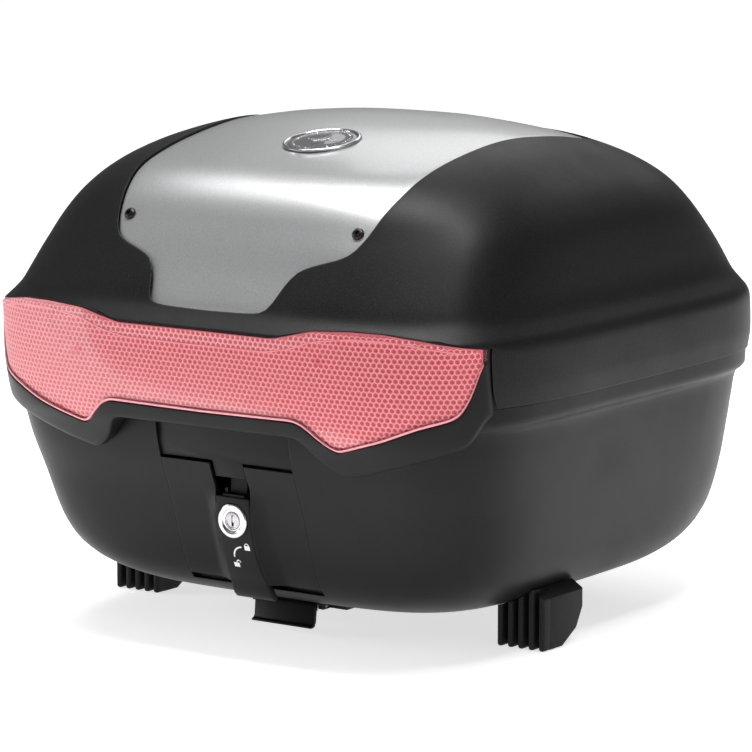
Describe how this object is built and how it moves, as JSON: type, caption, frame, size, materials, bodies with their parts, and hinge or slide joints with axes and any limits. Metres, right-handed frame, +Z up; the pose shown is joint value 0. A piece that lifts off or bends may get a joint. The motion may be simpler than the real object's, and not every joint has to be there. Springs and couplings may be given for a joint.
{
  "type": "motorcycle top case",
  "caption": "Hard motorcycle top case with a hinged domed lid, full-width reflector, keyed latch lever, release lever and underside docking plate.",
  "frame": {"origin": "centre of the footprint box, on the floor plane under the feet", "axes": "+Z up, -Y towards the lock face, +X to the right when facing the lock"},
  "size_m": [0.445, 0.4399, 0.3551],
  "materials": {
    "black_plastic": "satin moulded polypropylene",
    "grained_black_plastic": "fine grained moulded polypropylene",
    "seal_rubber": "matt rubber",
    "silver_paint": "metallic silver paint on plastic",
    "clear_red": "clear red plastic",
    "mirrored_plate": "metallised prism plate",
    "zinc_steel": "zinc plated",
    "bright_chrome": "polished",
    "badge_grey": "satin grey",
    "black_screw": "blackened"
  },
  "bodies": {
    "base": {"base_shell": "black_plastic", "latch_panel": "black_plastic", "front_foot_left": "black_plastic", "front_foot_right": "black_plastic", "rear_foot_left": "black_plastic", "rear_foot_right": "black_plastic", "docking_plate": "black_plastic", "rim_seal": "seal_rubber", "hinge_bracket_left": "zinc_steel", "hinge_bracket_right": "zinc_steel", "hinge_pin_left": "zinc_steel", "hinge_pin_right": "zinc_steel", "latch_carrier": "zinc_steel", "latch_pin": "zinc_steel", "plate_screw_1": "zinc_steel", "plate_screw_2": "zinc_steel", "plate_screw_3": "zinc_steel", "plate_screw_4": "zinc_steel", "release_pin": "zinc_steel", "release_spring": "zinc_steel"},
    "lid": {"lid_shell": "grained_black_plastic", "lid_cover": "silver_paint", "cover_screw_left": "black_screw", "cover_screw_right": "black_screw", "badge_rim": "bright_chrome", "badge_plate": "badge_grey", "bezel": "black_plastic", "reflector_plate": "mirrored_plate", "reflector_lens": "clear_red", "hasp": "black_plastic", "strike": "zinc_steel", "lid_knuckle_left": "zinc_steel", "lid_knuckle_right": "zinc_steel"},
    "latch": {"latch_lever": "black_plastic", "lock_housing": "bright_chrome"},
    "lock_plug": {"lock_core": "zinc_steel"},
    "release": {"release_lever": "black_plastic"},
    "catch": {"mount_catch": "zinc_steel"}
  },
  "joints": [
    {"name": "lid_hinge", "type": "hinge", "parent": "base", "child": "lid", "pos_m": [0, 0.2155, 0.185], "axis": [-1, 0, 0], "range_deg": [0, 80]},
    {"name": "latch_pivot", "type": "hinge", "parent": "base", "child": "latch", "pos_m": [0, -0.158, 0.103], "axis": [-1, 0, 0], "range_deg": [0, 40]},
    {"name": "lock_turn", "type": "hinge", "parent": "latch", "child": "lock_plug", "pos_m": [0, -0.1718, 0.0887], "axis": [0, -1, 0], "range_deg": [0, 90]},
    {"name": "release_pivot", "type": "hinge", "parent": "base", "child": "release", "pos_m": [0, -0.1045, 0.0205], "axis": [-1, 0, 0], "range_deg": [0, 18], "stiffness_Nm_per_rad": 0.05},
    {"name": "catch_slide", "type": "slide", "parent": "base", "child": "catch", "axis": [0, 1, 0], "range_m": [0, 0.005]}
  ],
  "couplings": [
    {"joint": "catch_slide", "follows": "release_pivot", "m_per_rad": 0.0159}
  ]
}
